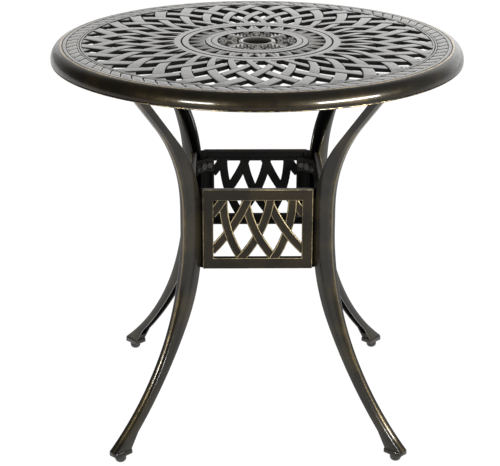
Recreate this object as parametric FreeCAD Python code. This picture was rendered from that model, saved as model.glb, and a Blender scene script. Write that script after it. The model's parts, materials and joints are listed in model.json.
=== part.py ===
import FreeCAD, Part
import math
import os

from FreeCAD import Vector

os.makedirs("parts", exist_ok=True)

# Cast umbrella table: a round woven top on four bowed legs, tied by four woven panels.
# Millimetres. The origin is on the floor under the umbrella hole, +Z is up, the front is -Y.

# Overall sizes: height to the flat top, radius of the rim
table_height = 735.0
top_radius = 381.0

# Rings of the top, from the rim inwards
shoulder_width = 21.6
shoulder_drop = 24.8
border_width = 7.7
brick_band_width = 20.0
inner_border_width = 8.6
plate_thickness = 6.0

# Skirt under the rim
skirt_depth = 30.0
skirt_wall = 5.0
bead_height = 3.4
bead_reach = 1.2

# Woven strips of the top
strips_each_way = 30
lattice_inner_radius = 153.1
crossing_rows = 3.8
first_crossing = 0.43
row_evenness = 0.852
strip_half_angle_outer = 3.2
strip_half_angle_inner = 2.3
lattice_phase = 1.8

# Rings inside the lattice
triangle_count = 28
triangle_phase = 8.9
triangle_base_radius = 126.0
triangle_tip_radius = 107.0
triangle_half_angle = 2.6
medallion_groove_radii = (140.0, 94.5, 84.5, 74.0)
groove_width = 1.4
groove_depth = 0.8
eyelet_count = 8
eyelet_circle_radius = 58.0
eyelet_radius = 3.2

# Hub round the umbrella hole
umbrella_hole_radius = 26.4
hub_wall = 9.1
hub_length = 30.0
hub_rise = 1.5

# Legs
leg_width = 25.0
leg_wall = 4.5
leg_web = 7.0
leg_waist_depth = 32.0
leg_bead_height = 0.8
leg_bead_width = 3.6
leg_bead_start = 30.0
outer_waist_bottom = 412.0
outer_waist_top = 445.0
outer_head_straight = 121.5
inner_waist_bottom = 386.8
inner_waist_top = 427.2
inner_head_straight = 163.0
knee_height = 232.0
knee_reach = 38.2
ankle_height = 52.0
ankle_reach = 17.0
foot_leg_inset = 0.5
brace_seat_depth = 12.0
brace_seat_height = 20.0
# Height, then radius and half width of the leg's open side, then the same of its outer face
leg_sides = (
    (10.0, 356.0, 12.5, 392.0, 9.8),
    (50.0, 328.7, 12.5, 350.2, 9.8),
    (90.0, 292.3, 12.5, 311.9, 9.8),
    (130.0, 259.8, 12.5, 280.7, 9.8),
    (170.0, 232.8, 12.5, 255.2, 9.8),
    (210.0, 208.6, 12.5, 234.6, 10.0),
    (260.0, 184.3, 12.5, 214.0, 10.6),
    (310.0, 167.0, 12.5, 200.0, 11.4),
    (350.0, 159.0, 12.5, 193.0, 12.0),
    (440.0, 158.6, 12.5, 190.5, 12.0),
    (480.0, 161.5, 14.0, 192.0, 11.0),
    (520.0, 174.0, 16.5, 200.0, 10.3),
    (560.0, 194.0, 17.0, 216.5, 10.3),
    (600.0, 224.0, 17.0, 240.5, 10.3),
    (640.0, 254.0, 17.0, 269.0, 10.3),
    (680.0, 286.0, 17.0, 302.0, 10.3),
    (725.0, 326.0, 17.0, 341.0, 10.3),
)
leg_side_margin = 8.0

# Leg head, bolted up under the top
head_inset = 51.0
head_plate_length = 66.0
head_plate_depth = 34.0
head_plate_thickness = 8.0
head_boss_height = 8.0
head_leg_depth = 14.0
head_leg_inset = 6.0
head_bolt_spacing = 46.0

# Foot plate and glide
foot_radius = 361.0
foot_plate_depth = 36.0
foot_plate_width = 26.0
foot_plate_thickness = 10.0
foot_plate_chamfer = 3.0
foot_block_height = 14.0
glide_pad_radius = 10.5
glide_pad_height = 14.0
glide_pad_rounding = 8.0
glide_stud_radius = 4.0
glide_stud_length = 25.0
glide_stud_seat = 4.0
stud_hole_spare = 2.0
thread_clearance = 0.05

# Woven side panels
panel_width = 202.7
panel_gap = 1.9
panel_proud = 6.1
panel_bottom = 332.3
panel_height = 155.1
panel_border_depth = 11.0
panel_strip_depth = 6.0
panel_side_border = 19.5
panel_top_border = 21.0
panel_bottom_border = 21.0
panel_flange = 4.5
panel_face = 6.0
panel_inner_rim = 5.0
panel_pad_height = 32.0
panel_strip_width = 14.6
# Where each strip's middle crosses the top, middle and bottom of the opening, in half openings
panel_strip_shares = (
    (-0.777, -0.68, -0.375),
    (-0.28, -0.075, 0.37),
    (0.235, 0.61, 1.225),
    (0.795, 1.37, 2.58),
)
panel_flange_thickness = 4.0

# Corner braces
brace_offset = 29.0
brace_height = 26.0
brace_thickness = 3.0
brace_wing_length = 14.0
brace_wing_inset = 4.35

# Fasteners
head_bolt_radius = 4.0
head_bolt_grip = 18.0
head_bolt_across = 13.0
head_bolt_head = 5.3
washer_radius = 8.0
washer_thickness = 1.6
washer_hole_radius = 4.3
brace_bolt_length = 32.0
panel_screw_radius = 3.0
panel_screw_length = 10.0
panel_screw_head_radius = 5.2
panel_screw_head = 3.4
hole_clearance = 0.4
bolt_hole_spare = 1.0

# Sizes worked out from those above
flat_edge_radius = top_radius - shoulder_width
band_outer_radius = flat_edge_radius - border_width
band_inner_radius = band_outer_radius - brick_band_width
lattice_outer_radius = band_inner_radius - inner_border_width
plate_bottom = table_height - plate_thickness
skirt_bottom = table_height - skirt_depth
row_turn = 180.0 / strips_each_way
tip_steps = 20
straight_enough = math.radians(0.5)
head_radius = top_radius - head_inset
head_top = plate_bottom - head_boss_height
head_bottom = head_top - head_plate_thickness
head_middle = head_radius - head_leg_inset
leg_waist_inner = (panel_width / 2 + panel_gap) * math.sqrt(2) + leg_width / 2
leg_waist_outer = leg_waist_inner + leg_waist_depth
panel_reach = (leg_waist_inner + leg_width / 2) / math.sqrt(2) + panel_proud
foot_bottom = glide_pad_height
foot_top = foot_bottom + foot_plate_thickness
foot_inner = foot_radius - foot_plate_depth / 2
foot_outer = foot_radius + foot_plate_depth / 2
panel_top = panel_bottom + panel_height
panel_back = panel_reach - panel_border_depth
brace_wing_end = panel_width / 2 - brace_wing_inset
brace_wing_start = brace_wing_end - brace_wing_length
brace_heights = (panel_bottom + brace_offset, panel_top - brace_offset)
corner_angles = {"front_left": 225.0, "front_right": 315.0, "rear_left": 135.0, "rear_right": 45.0}
side_angles = {"front": 270.0, "rear": 90.0, "left": 180.0, "right": 0.0}
up = Vector(0, 0, 1)
outward = Vector(1, 0, 0)


def save(name, shape):
    shape.exportStep("parts/" + name + ".step")
    solids = len(shape.Solids)
    print(name, "solids", solids, "volume", round(shape.Volume), "valid", shape.isValid())


def turned(shape, degrees):
    copy = shape.copy()
    copy.rotate(Vector(0, 0, 0), up, degrees)
    return copy


def polar(radius, degrees, z=0.0):
    angle = math.radians(degrees)
    return Vector(radius * math.cos(angle), radius * math.sin(angle), z)


def block(low, high):
    return Part.makeBox(high[0] - low[0], high[1] - low[1], high[2] - low[2], Vector(*low))


def rod(radius, length, base, axis=up):
    return Part.makeCylinder(radius, length, base, axis)


def ring(inner, outer, bottom, top):
    base = Vector(0, 0, bottom)
    return rod(outer, top - bottom, base).cut(rod(inner, top - bottom, base))


def closed_face(edges):
    return Part.Face(Part.Wire(Part.__sortEdges__(edges)))


def polygon(points):
    return Part.makePolygon(points + [points[0]])


def hexagon(across, height, base, axis, side):
    corner = across / math.sqrt(3)
    other = axis.cross(side)
    points = []
    for step in range(6):
        angle = math.radians(60 * step)
        points.append(base + side * (corner * math.cos(angle)) + other * (corner * math.sin(angle)))
    return Part.Face(polygon(points)).extrude(axis * height)


# Top: openings of the weave
def lattice_radius(row):
    share = (row + first_crossing) / crossing_rows
    depth = row_evenness * share + (1 - row_evenness) * share ** 2
    return lattice_outer_radius - (lattice_outer_radius - lattice_inner_radius) * depth


def strip_half_angle(row):
    span = lattice_outer_radius - lattice_inner_radius
    share = (lattice_radius(row) - lattice_inner_radius) / span
    return strip_half_angle_inner + (strip_half_angle_outer - strip_half_angle_inner) * share


def half_gap(row, centre_row):
    return row_turn * (1 - abs(row - centre_row)) - strip_half_angle(row)


def gap_tip(centre_row, side):
    row = centre_row
    for _ in range(tip_steps):
        row = centre_row + side * (1 - strip_half_angle(row) / row_turn)
    return row


def gap_point(row, centre_row, column, side):
    turn = side * max(half_gap(row, centre_row), 0.0)
    return polar(lattice_radius(row), column + turn, plate_bottom)


def gap_wire(centre_row, column):
    outer = gap_tip(centre_row, -1)
    last_row = crossing_rows - first_crossing
    inner = min(gap_tip(centre_row, 1), last_row)
    edges = []
    for side in (-1, 1):
        for start, end in ((outer, centre_row), (centre_row, inner)):
            middle = (start + end) / 2
            points = [gap_point(row, centre_row, column, side) for row in (start, middle, end)]
            edges.append(Part.Arc(*points).toShape())
    if inner == last_row:
        points = [gap_point(inner, centre_row, column, side) for side in (-1, 1)]
        middle = polar(lattice_inner_radius, column, plate_bottom)
        edges.append(Part.Arc(points[0], middle, points[1]).toShape())
    return Part.Wire(Part.__sortEdges__(edges))


def lattice_wires():
    wires = []
    for row in range(4):
        for place in range(strips_each_way):
            column = lattice_phase + row_turn * (2 * place + row % 2)
            wires.append(gap_wire(row, column))
    return wires


def triangle_wires():
    wires = []
    for place in range(triangle_count):
        centre = triangle_phase + 360.0 * place / triangle_count
        points = [polar(triangle_base_radius, centre - triangle_half_angle, plate_bottom)]
        points.append(polar(triangle_base_radius, centre + triangle_half_angle, plate_bottom))
        points.append(polar(triangle_tip_radius, centre, plate_bottom))
        wires.append(polygon(points))
    return wires


def eyelet_wires():
    wires = []
    for place in range(eyelet_count):
        centre = polar(eyelet_circle_radius, 360.0 * (place + 0.5) / eyelet_count, plate_bottom)
        wires.append(Part.Wire(Part.Circle(centre, up, eyelet_radius).toShape()))
    return wires


def top_plate():
    base = Vector(0, 0, plate_bottom)
    wires = [Part.Wire(Part.Circle(base, up, flat_edge_radius - skirt_wall).toShape())]
    wires.append(Part.Wire(Part.Circle(base, up, umbrella_hole_radius).toShape()))
    wires += lattice_wires() + triangle_wires() + eyelet_wires()
    return Part.Face(wires, "Part::FaceMakerBullseye").extrude(up * plate_thickness)


# Top: rounded rim with its skirt and bead
def rim():
    edge_height = table_height - shoulder_drop
    start = Vector(flat_edge_radius - skirt_wall, 0, table_height)
    crown = Vector(flat_edge_radius, 0, table_height)
    lean = math.sqrt(0.5)
    middle = Vector(flat_edge_radius + shoulder_width * lean, 0, edge_height + shoulder_drop * lean)
    edge = Vector(top_radius, 0, edge_height)
    neck = Vector(top_radius - bead_reach, 0, skirt_bottom + bead_height)
    bead = Vector(top_radius - bead_reach, 0, skirt_bottom)
    lip = Vector(top_radius - bead_reach - skirt_wall, 0, skirt_bottom)
    inner_edge = Vector(top_radius - skirt_wall, 0, edge_height)
    inner_width = shoulder_width - skirt_wall
    inner_drop = shoulder_drop - plate_thickness
    inner_middle = Vector(flat_edge_radius + inner_width * lean, 0, edge_height + inner_drop * lean)
    inner_crown = Vector(flat_edge_radius, 0, plate_bottom)
    inner_start = Vector(flat_edge_radius - skirt_wall, 0, plate_bottom)
    edges = [Part.makeLine(start, crown), Part.Arc(crown, middle, edge).toShape()]
    edges += [Part.makeLine(edge, neck), Part.makeLine(neck, bead), Part.makeLine(bead, lip)]
    edges += [Part.makeLine(lip, inner_edge), Part.Arc(inner_edge, inner_middle, inner_crown).toShape()]
    edges += [Part.makeLine(inner_crown, inner_start), Part.makeLine(inner_start, start)]
    return closed_face(edges).revolve(Vector(0, 0, 0), up, 360)


def hub():
    outer = umbrella_hole_radius + hub_wall
    return ring(umbrella_hole_radius, outer, table_height - hub_length, table_height + hub_rise)


def head_bolt_places():
    places = []
    for angle in corner_angles.values():
        for side in (-1, 1):
            spot = Vector(head_radius, side * head_bolt_spacing / 2, 0)
            turn = FreeCAD.Rotation(up, angle)
            places.append(turn.multVec(spot))
    return places


def head_boss():
    half = head_plate_length / 2
    low = (head_radius - head_plate_depth / 2, -half, head_top)
    high = (head_radius + head_plate_depth / 2, half, plate_bottom)
    return block(low, high)


def ring_grooves():
    radii = (flat_edge_radius, band_outer_radius, band_inner_radius, lattice_outer_radius)
    bottom = table_height - groove_depth
    cuts = []
    for radius in radii + medallion_groove_radii:
        inner = radius - groove_width / 2
        cuts.append(ring(inner, inner + groove_width, bottom, table_height))
    return Part.Compound(cuts)


def table_top():
    bosses = [turned(head_boss(), angle) for angle in corner_angles.values()]
    body = top_plate().fuse([rim(), hub()] + bosses)
    body = body.cut(ring_grooves())
    depth = head_bolt_grip - head_plate_thickness - washer_thickness + bolt_hole_spare
    holes = []
    for place in head_bolt_places():
        base = Vector(place.x, place.y, head_top)
        holes.append(rod(head_bolt_radius + thread_clearance, depth, base))
    return body.cut(Part.Compound(holes)).removeSplitter()


# Legs: profile in the plane through the table's axis, drawn with +X outwards
def tangent_arc(start, heading, end):
    chord = end - start
    chord_angle = math.atan2(chord.z, chord.x)
    turn = 2 * (chord_angle - heading)
    turn = (turn + math.pi) % (2 * math.pi) - math.pi
    if abs(turn) < straight_enough:
        return Part.makeLine(start, end), chord_angle
    bulge = Vector(chord.z, 0, -chord.x) * (0.5 * math.tan(turn / 4))
    middle = (start + end) * 0.5 + bulge
    return Part.Arc(start, middle, end).toShape(), heading + turn


def arc_then_line(start, end, straight):
    rise = end.z - start.z
    reach = end.x - start.x
    lean = 2 * math.atan(reach / (rise + straight))
    knot = end - Vector(math.sin(lean), 0, math.cos(lean)) * straight
    arc = tangent_arc(start, math.pi / 2, knot)[0]
    return [arc, Part.makeLine(knot, end)]


def arcs_down(points):
    edges = []
    heading = -math.pi / 2
    for start, end in zip(points, points[1:]):
        edge, heading = tangent_arc(start, heading, end)
        edges.append(edge)
    return edges


def outer_run(inset):
    head = Vector(head_middle + head_leg_depth / 2 - inset, 0, head_bottom)
    waist_top = Vector(leg_waist_outer - inset, 0, outer_waist_top)
    waist_bottom = Vector(leg_waist_outer - inset, 0, outer_waist_bottom)
    foot = Vector(foot_outer - inset, 0, foot_top)
    edges = arc_then_line(waist_top, head, outer_head_straight)
    edges.append(Part.makeLine(waist_top, waist_bottom))
    return edges + arcs_down([waist_bottom, foot]), head, foot


def inner_run(outset):
    head = Vector(head_middle - head_leg_depth / 2 - outset, 0, head_bottom)
    waist_top = Vector(leg_waist_inner - outset, 0, inner_waist_top)
    waist_bottom = Vector(leg_waist_inner - outset, 0, inner_waist_bottom)
    knee = Vector(leg_waist_inner + knee_reach - outset, 0, knee_height)
    ankle = Vector(foot_inner - ankle_reach - outset, 0, ankle_height)
    foot = Vector(foot_inner + foot_leg_inset - outset, 0, foot_top)
    edges = arc_then_line(waist_top, head, inner_head_straight)
    edges.append(Part.makeLine(waist_top, waist_bottom))
    edges += arcs_down([waist_bottom, knee, ankle]) + [Part.makeLine(ankle, foot)]
    return edges, head, foot


def leg_outline(inset, outset):
    outer, outer_head, outer_foot = outer_run(inset)
    inner, inner_head, inner_foot = inner_run(outset)
    ends = [Part.makeLine(outer_head, inner_head), Part.makeLine(outer_foot, inner_foot)]
    return closed_face(outer + inner + ends)


def slab(face, width):
    face.translate(Vector(0, -width / 2, 0))
    return face.extrude(Vector(0, width, 0))


def side_section(station, wall):
    height, open_radius, open_half, face_radius, face_half = station
    flare = (open_half - face_half) / (face_radius - open_radius) * leg_side_margin
    low = open_radius - leg_side_margin
    high = face_radius + leg_side_margin
    wide = open_half + flare - wall
    narrow = face_half - flare - wall
    corners = [(low, -wide), (high, -narrow), (high, narrow), (low, wide), (low, -wide)]
    return Part.makePolygon([Vector(x, y, height) for x, y in corners])


def between_sides(body, wall):
    sides = Part.makeLoft([side_section(station, wall) for station in leg_sides], True, False)
    return body.common(sides)


def channel():
    pocket = between_sides(slab(leg_outline(leg_web, leg_web), 2 * leg_width), leg_wall)
    levels = [foot_top + foot_block_height]
    for height in brace_heights:
        levels += [height - brace_seat_height / 2, height + brace_seat_height / 2]
    levels.append(head_bottom - head_plate_thickness)
    half = leg_width
    parts = []
    for bottom, top in zip(levels[0::2], levels[1::2]):
        parts.append(pocket.common(block((0, -half, bottom), (top_radius, half, top))))
    return Part.Compound(parts)


def foot_plate():
    half = foot_plate_width / 2
    plate = block((foot_inner, -half, foot_bottom), (foot_outer, half, foot_top))
    corners = []
    for edge in plate.Edges:
        first, last = edge.Vertexes[0].Point, edge.Vertexes[-1].Point
        if abs(first.z - last.z) > foot_plate_thickness / 2 and first.x > foot_radius:
            corners.append(edge)
    return plate.makeChamfer(foot_plate_chamfer, corners)


def head_plate():
    half = head_plate_length / 2
    low = (head_radius - head_plate_depth / 2, -half, head_bottom)
    high = (head_radius + head_plate_depth / 2, half, head_top)
    plate = block(low, high)
    for side in (-1, 1):
        base = Vector(head_radius, side * head_bolt_spacing / 2, head_bottom)
        plate = plate.cut(rod(head_bolt_radius + hole_clearance, head_plate_thickness, base))
    return plate


def leg_bead():
    bead = slab(leg_outline(-leg_bead_height, 0.0), leg_bead_width)
    half = leg_bead_width / 2
    low = (leg_waist_inner + leg_waist_depth / 2, -half, foot_top + leg_bead_start)
    return bead.common(block(low, (top_radius, half, head_bottom)))


def brace_seats():
    half = leg_width / 2
    seats = []
    for height in brace_heights:
        low = (leg_waist_inner, -half, height - brace_seat_height / 2)
        high = (leg_waist_inner + brace_seat_depth, half, height + brace_seat_height / 2)
        seats.append(block(low, high))
    return seats


def leg():
    body = between_sides(slab(leg_outline(0.0, 0.0), 2 * leg_width), 0.0)
    body = body.fuse(leg_bead()).cut(channel())
    body = body.fuse([foot_plate(), head_plate()] + brace_seats())
    stud_top = glide_stud_seat + glide_stud_length
    stud_depth = stud_top - foot_bottom + stud_hole_spare
    foot = Vector(foot_radius, 0, foot_bottom)
    holes = [rod(glide_stud_radius + thread_clearance, stud_depth, foot)]
    for height in brace_heights:
        base = Vector(leg_waist_inner, 0, height)
        depth = leg_waist_outer - leg_waist_inner - leg_web
        holes.append(rod(head_bolt_radius + thread_clearance, depth, base, outward))
    return body.cut(Part.Compound(holes)).removeSplitter()


# Glides: a stud that screws into the foot and a pad moulded round its end
def glide_stud():
    return rod(glide_stud_radius, glide_stud_length, Vector(foot_radius, 0, glide_stud_seat))


def glide_pad():
    base = Vector(foot_radius, 0, 0)
    pad = rod(glide_pad_radius, glide_pad_height, base)
    rims = [edge for edge in pad.Edges if edge.BoundBox.ZMax < glide_pad_rounding and edge.Closed]
    pad = pad.makeFillet(glide_pad_rounding, rims)
    socket = Vector(foot_radius, 0, glide_stud_seat)
    return pad.cut(rod(glide_stud_radius + thread_clearance, glide_pad_height, socket))


# Panels, drawn facing +X at the table's right, then turned
def panel_point(across, z):
    return Vector(panel_reach, across, z)


def strip_face(places, bottom, top):
    heights = (top, (top + bottom) / 2, bottom)
    line = [panel_point(across, z) for across, z in zip(places, heights)]
    centre = Part.Arc(*line).toShape().Curve.Center
    edges = []
    ends = []
    for offset in (-panel_strip_width / 2, panel_strip_width / 2):
        points = []
        for point in line:
            ray = point - centre
            points.append(centre + ray * ((ray.Length + offset) / ray.Length))
        edges.append(Part.Arc(*points).toShape())
        ends.append(points)
    edges.append(Part.makeLine(ends[0][0], ends[1][0]))
    edges.append(Part.makeLine(ends[0][2], ends[1][2]))
    return closed_face(edges)


def panel_rectangle(half_width, bottom, top):
    corners = [(-half_width, bottom), (half_width, bottom), (half_width, top), (-half_width, top)]
    return Part.Face(polygon([panel_point(across, z) for across, z in corners]))


def panel_flanges():
    leg_plane = leg_waist_inner * math.sqrt(2)
    half = panel_width / 2
    near = panel_back
    far = panel_back + panel_flange_thickness
    points = [(near, half), (far, half), (far, leg_plane - far), (near, leg_plane - near)]
    flanges = []
    for side in (-1, 1):
        corners = [Vector(x, side * y, panel_bottom) for x, y in points]
        flanges.append(Part.Face(polygon(corners)).extrude(up * (panel_top - panel_bottom)))
    return flanges


def panel_screw_places():
    middle = (brace_wing_start + brace_wing_end) / 2
    places = []
    for height in brace_heights:
        for side in (-1, 1):
            places.append(Vector(panel_back, side * middle, height))
    return places


def back_pockets():
    half = panel_width / 2 - panel_flange
    inner = panel_width / 2 - panel_side_border + panel_inner_rim
    low = panel_bottom + panel_flange
    high = panel_top - panel_flange
    inner_low = panel_bottom + panel_bottom_border - panel_inner_rim
    inner_high = panel_top - panel_top_border + panel_inner_rim
    pad = panel_pad_height / 2
    pockets = [block((panel_back, -inner, low), (panel_reach - panel_face, inner, inner_low))]
    pockets.append(block((panel_back, -inner, inner_high), (panel_reach - panel_face, inner, high)))
    for side in (-1, 1):
        near, far = sorted((side * inner, side * half))
        bottom, top = brace_heights[0] + pad, brace_heights[1] - pad
        pockets.append(block((panel_back, near, bottom), (panel_reach - panel_face, far, top)))
    return pockets


def panel():
    half = panel_width / 2
    opening_half = half - panel_side_border
    opening_bottom = panel_bottom + panel_bottom_border
    opening_top = panel_top - panel_top_border
    opening = panel_rectangle(opening_half, opening_bottom, opening_top)
    border = panel_rectangle(half, panel_bottom, panel_top).cut(opening)
    strips = []
    for shares in panel_strip_shares:
        for mirror in (-1, 1):
            places = [mirror * share * opening_half for share in shares]
            strips.append(strip_face(places, opening_bottom, opening_top))
    inward = Vector(-1, 0, 0)
    frame = border.extrude(inward * panel_border_depth).cut(Part.Compound(back_pockets()))
    weave = strips[0].fuse(strips[1:]).removeSplitter().common(opening).extrude(inward * panel_strip_depth)
    body = frame.fuse([weave] + panel_flanges())
    holes = []
    for base in panel_screw_places():
        depth = panel_screw_length - brace_thickness + bolt_hole_spare
        holes.append(rod(panel_screw_radius + thread_clearance, depth, base, outward))
    return body.cut(Part.Compound(holes)).removeSplitter()


# Corner braces, drawn with the leg along +X
def brace_plan():
    near = panel_back - brace_thickness
    far = panel_back
    outer_corner = brace_wing_end + brace_thickness * (math.sqrt(2) - 1)
    half = [(near, brace_wing_end), (near, brace_wing_start), (far, brace_wing_start), (far, outer_corner)]
    return half + [(y, x) for x, y in reversed(half)]


def brace_inner_face():
    return (panel_back - brace_thickness + brace_wing_end) / math.sqrt(2)


def corner_brace(height):
    bottom = height - brace_height / 2
    corners = [Vector(x, y, bottom) for x, y in brace_plan()]
    body = turned(Part.Face(polygon(corners)).extrude(up * brace_height), -45)
    holes = [rod(head_bolt_radius + hole_clearance, top_radius, Vector(0, 0, height), outward)]
    for spot in panel_screw_places():
        if abs(spot.z - height) < brace_height:
            base = spot - outward * brace_thickness
            hole = rod(panel_screw_radius + hole_clearance, brace_thickness, base, outward)
            holes.append(turned(hole, -math.copysign(45, spot.y)))
    return body.cut(Part.Compound(holes))


# Fasteners
def bolt(length, base, axis, side):
    shank = rod(head_bolt_radius, length, base, axis)
    head = hexagon(head_bolt_across, head_bolt_head, base - axis * head_bolt_head, axis, side)
    return head.fuse(shank).removeSplitter()


def washer(base, axis):
    disc = rod(washer_radius, washer_thickness, base, axis)
    return disc.cut(rod(washer_hole_radius, washer_thickness, base, axis))


def head_fasteners():
    bolts = []
    washers = []
    for place in head_bolt_places():
        washer_base = Vector(place.x, place.y, head_bottom - washer_thickness)
        washers.append(washer(washer_base, up))
        bolts.append(bolt(head_bolt_grip, washer_base, up, outward))
    return bolts, washers


def brace_fasteners():
    bolts = []
    washers = []
    for angle in corner_angles.values():
        for height in brace_heights:
            base = Vector(brace_inner_face() - washer_thickness, 0, height)
            bolts.append(turned(bolt(brace_bolt_length, base, outward, Vector(0, 1, 0)), angle))
            washers.append(turned(washer(base, outward), angle))
    return bolts, washers


def panel_screws():
    screws = []
    for angle in side_angles.values():
        for spot in panel_screw_places():
            base = spot - outward * brace_thickness
            head = rod(panel_screw_head_radius, panel_screw_head, base - outward * panel_screw_head, outward)
            shank = rod(panel_screw_radius, panel_screw_length, base, outward)
            screws.append(turned(head.fuse(shank).removeSplitter(), angle))
    return screws


def main():
    save("table_top", table_top())
    one_leg = leg()
    stud = glide_stud()
    pad = glide_pad()
    for name, angle in corner_angles.items():
        save("leg_" + name, turned(one_leg, angle))
        save("glide_stud_" + name, turned(stud, angle))
        save("glide_pad_" + name, turned(pad, angle))
    one_panel = panel()
    for name, angle in side_angles.items():
        save("panel_" + name, turned(one_panel, angle))
    for level, height in zip(("lower", "upper"), brace_heights):
        brace = corner_brace(height)
        for name, angle in corner_angles.items():
            save("corner_brace_" + name + "_" + level, turned(brace, angle))
    bolts, washers = head_fasteners()
    save("head_bolts", Part.Compound(bolts))
    save("head_washers", Part.Compound(washers))
    bolts, washers = brace_fasteners()
    save("brace_bolts", Part.Compound(bolts))
    save("brace_washers", Part.Compound(washers))
    save("panel_screws", Part.Compound(panel_screws()))


main()
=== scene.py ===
# %% [markdown]
# # A cast metal umbrella table
#
# The real table is sand cast in aluminium and screwed together: a round woven top on four bowed
# legs, with four woven panels tying the legs at the waist. It is sprayed near black, then rubbed
# with bronze paint, so that every raised edge turns to brass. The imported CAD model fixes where
# everything goes. This lesson grows the castings' relief around it in mesh code, in millimetres,
# and gives every piece a finish made from shader nodes.

import json
import math

import bmesh
import bpy
import numpy as np
from mathutils import Matrix, Vector

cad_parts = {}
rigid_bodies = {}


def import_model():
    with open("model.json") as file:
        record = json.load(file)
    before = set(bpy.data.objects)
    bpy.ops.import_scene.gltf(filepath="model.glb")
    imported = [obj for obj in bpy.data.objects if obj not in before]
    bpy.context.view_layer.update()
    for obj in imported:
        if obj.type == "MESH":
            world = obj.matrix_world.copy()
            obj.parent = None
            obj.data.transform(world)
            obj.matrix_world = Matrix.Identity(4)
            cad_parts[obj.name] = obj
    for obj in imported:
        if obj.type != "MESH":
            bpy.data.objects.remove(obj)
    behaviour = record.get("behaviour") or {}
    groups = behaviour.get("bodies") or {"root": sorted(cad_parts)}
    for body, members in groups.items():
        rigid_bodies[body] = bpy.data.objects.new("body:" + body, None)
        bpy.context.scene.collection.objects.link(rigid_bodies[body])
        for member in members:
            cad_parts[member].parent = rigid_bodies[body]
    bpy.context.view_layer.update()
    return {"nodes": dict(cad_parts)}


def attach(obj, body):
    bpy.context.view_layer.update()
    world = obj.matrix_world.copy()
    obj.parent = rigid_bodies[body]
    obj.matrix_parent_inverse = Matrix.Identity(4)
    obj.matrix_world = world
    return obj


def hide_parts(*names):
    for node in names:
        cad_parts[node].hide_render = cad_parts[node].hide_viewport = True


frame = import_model()
mm = 0.001

# %% [markdown]
# ## The camera
#
# The photograph looks down on the table from a standing person's height with a long lens. The
# rings of the top are known circles, so fitting their ellipses gave the lens, the height and the
# tilt. A camera can be aimed with a Track To constraint, but a plain rotation made of heading,
# tilt and roll keeps each measured angle in sight.

# %% Camera
lens, sensor = 111.9, 36.0  # millimetres
camera_place = (-0.0568, -2.8204, 1.3973)  # metres
heading, tilt, roll = 0.0158, 0.3535, 0.0025  # radians


def add_object(name, data):
    """Makes an object and puts it into the scene."""
    made = bpy.data.objects.new(name, data)
    bpy.context.scene.collection.objects.link(made)
    return made


camera = add_object("photo_camera", bpy.data.cameras.new("photo_camera"))
camera.data.sensor_width = sensor
camera.data.lens = lens
camera.data.clip_end = 60.0
camera.location = camera_place
look = Matrix.Rotation(-heading, 3, "Z") @ Matrix.Rotation(math.pi / 2 - tilt, 3, "X")
camera.rotation_euler = (look @ Matrix.Rotation(roll, 3, "Z")).to_euler()
bpy.context.scene.camera = camera
print("camera at", camera_place, "lens", lens)

# %% [markdown]
# ## Short functions for nodes
#
# Materials, the floor and the world are all trees of nodes. They can be wired by hand in the node
# editor, but a tree that is written down can be read and repeated. Each function below makes one
# node, fills its inputs with numbers or with other nodes' outputs, and returns its own output.

# %% Nodes that mix and measure


def plug(tree, value, socket):
    """Writes a number into an input, or links another node's output to it."""
    if isinstance(value, (int, float)):
        socket.default_value = value
    else:
        tree.links.new(value, socket)


def math_node(tree, operation, first, second, clamp=False):
    node = tree.nodes.new("ShaderNodeMath")
    node.operation = operation
    node.use_clamp = clamp
    plug(tree, first, node.inputs[0])
    plug(tree, second, node.inputs[1])
    return node.outputs[0]


def ramp(tree, value, low, high, start=0.0, end=1.0):
    """Spreads low..high to start..end, smoothly."""
    node = tree.nodes.new("ShaderNodeMapRange")
    node.interpolation_type = "SMOOTHSTEP"
    for label, number in (("From Min", low), ("From Max", high), ("To Min", start),
                          ("To Max", end)):
        node.inputs[label].default_value = number
    tree.links.new(value, node.inputs["Value"])
    return node.outputs["Result"]


def mix_shaders(tree, share, first, second):
    node = tree.nodes.new("ShaderNodeMixShader")
    for value, socket in zip((share, first, second), node.inputs):
        tree.links.new(value, socket)
    return node.outputs[0]


def looking_rays(tree):
    """1 for camera, glossy and transmission rays, 0 for diffuse and shadow rays."""
    path = tree.nodes.new("ShaderNodeLightPath").outputs
    mirrored = math_node(tree, "MAXIMUM", path["Is Camera Ray"], path["Is Glossy Ray"])
    return math_node(tree, "MAXIMUM", mirrored, path["Is Transmission Ray"])


print("node functions are ready")

# %% [markdown]
# ## Studio: floor, background and lamps
#
# The photograph was taken on a white sweep. From this height the camera sees nothing but floor,
# so the floor itself must read as white and still hold the feet's soft shadows. A strong lamp
# would wash out the metal, so the floor adds a share of plain white for the rays that look at it
# directly or in a mirror. The world does the same. Behind the table, where the sweep rises, a
# mirrored ray finds white; on the photographer's side it finds the darker room, and that is what
# gives the metal its depth. The right side of the studio is the brighter one, so the fill, the
# mirrored room and the lamps are all stronger there.

# %% Floor
floor_half = 14.0
floor_drop = 0.0005  # keeps the floor clear of the pads' undersides
paper_grey = 0.62
white_strength, white_share = 1.16, 0.8


def new_material(name):
    """A material with an empty node tree; its nodes and links come along."""
    material = bpy.data.materials.new(name)
    material.use_nodes = True
    material.node_tree.nodes.clear()
    return material, material.node_tree.nodes, material.node_tree.links


floor_mesh = bpy.data.meshes.new("studio_floor")
corners = [(x * floor_half, y * floor_half, 0) for x, y in ((-1, -1), (1, -1), (1, 1), (-1, 1))]
floor_mesh.from_pydata(corners, [], [(0, 1, 2, 3)])
floor = add_object("studio_floor", floor_mesh)
floor.location.z = -floor_drop

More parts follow.
